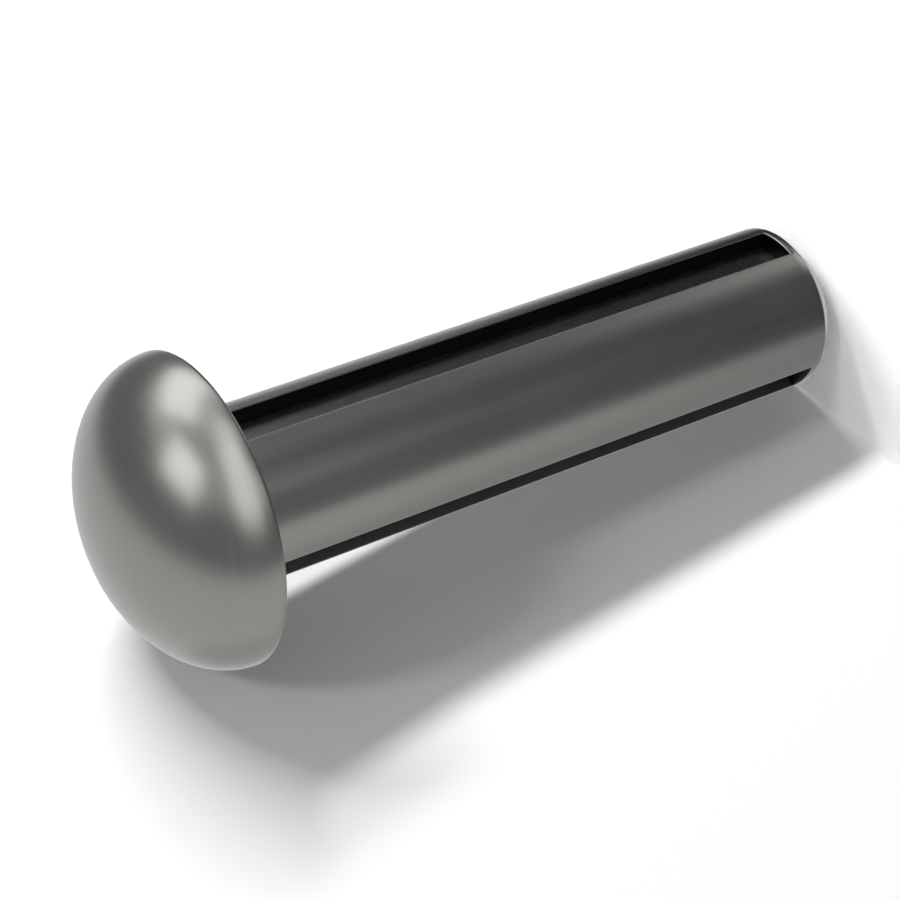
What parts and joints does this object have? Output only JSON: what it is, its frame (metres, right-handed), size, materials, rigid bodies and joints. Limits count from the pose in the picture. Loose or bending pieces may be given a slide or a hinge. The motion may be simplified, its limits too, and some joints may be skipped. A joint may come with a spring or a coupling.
{
  "type": "round head grooved pin",
  "caption": "Steel pin with a domed round head, a straight shank with lengthwise grooves cut into it and a chamfered flat tip.",
  "frame": {"origin": "middle of the flat tip face, which is the lowest point of the pin", "axes": "+Z along the pin's axis from the tip to the domed head; one groove faces -Y, the other two are 120 degrees to either side"},
  "size_m": [0.0108, 0.0108, 0.0287],
  "materials": {
    "steel": "satin, bare dark grey steel"
  },
  "bodies": {
    "root": {"grooved_pin": "steel"}
  },
  "joints": []
}
